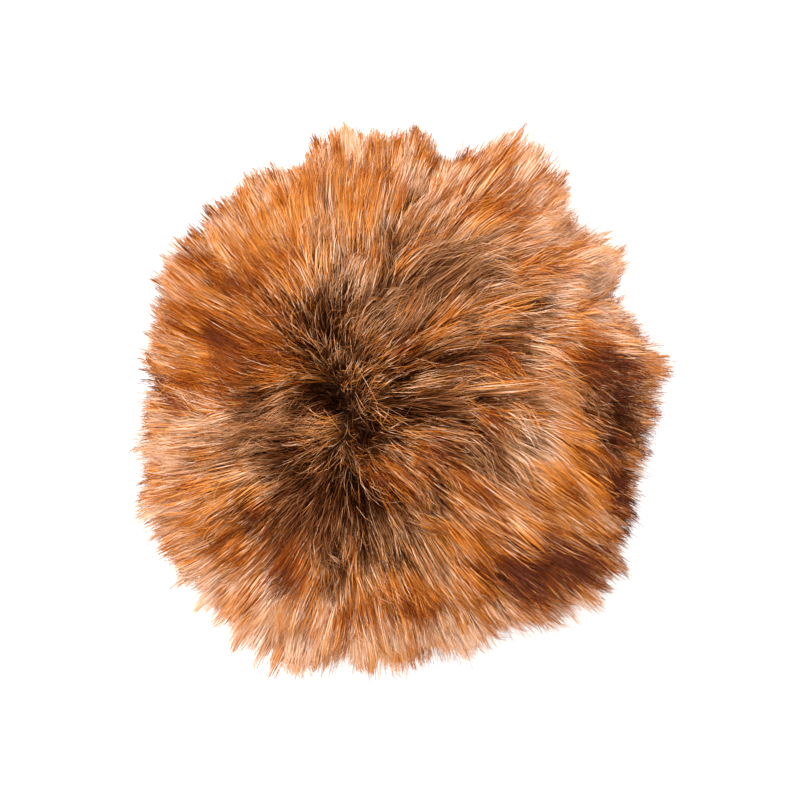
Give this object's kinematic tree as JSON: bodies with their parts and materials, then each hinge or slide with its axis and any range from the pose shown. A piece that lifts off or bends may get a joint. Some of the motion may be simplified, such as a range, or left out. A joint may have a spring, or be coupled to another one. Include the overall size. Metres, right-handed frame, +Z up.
{
  "type": "fur pom pom",
  "caption": "Ball of long-pile fur with a hair parting near its top and locks swept away from it, lying on a flat spot under it.",
  "frame": {"origin": "middle of the flat spot under the ball, on the surface it lies on", "axes": "+Z up through the ball, -X towards the side that the hair parting leans to, +Y to the left when looking along +X"},
  "size_m": [0.1309, 0.1326, 0.1185],
  "materials": {
    "long_fur": "long-pile fur, dark brown at the roots and rust, tan and cream towards the tips"
  },
  "bodies": {
    "root": {"fur_ball": "long_fur"}
  },
  "joints": []
}
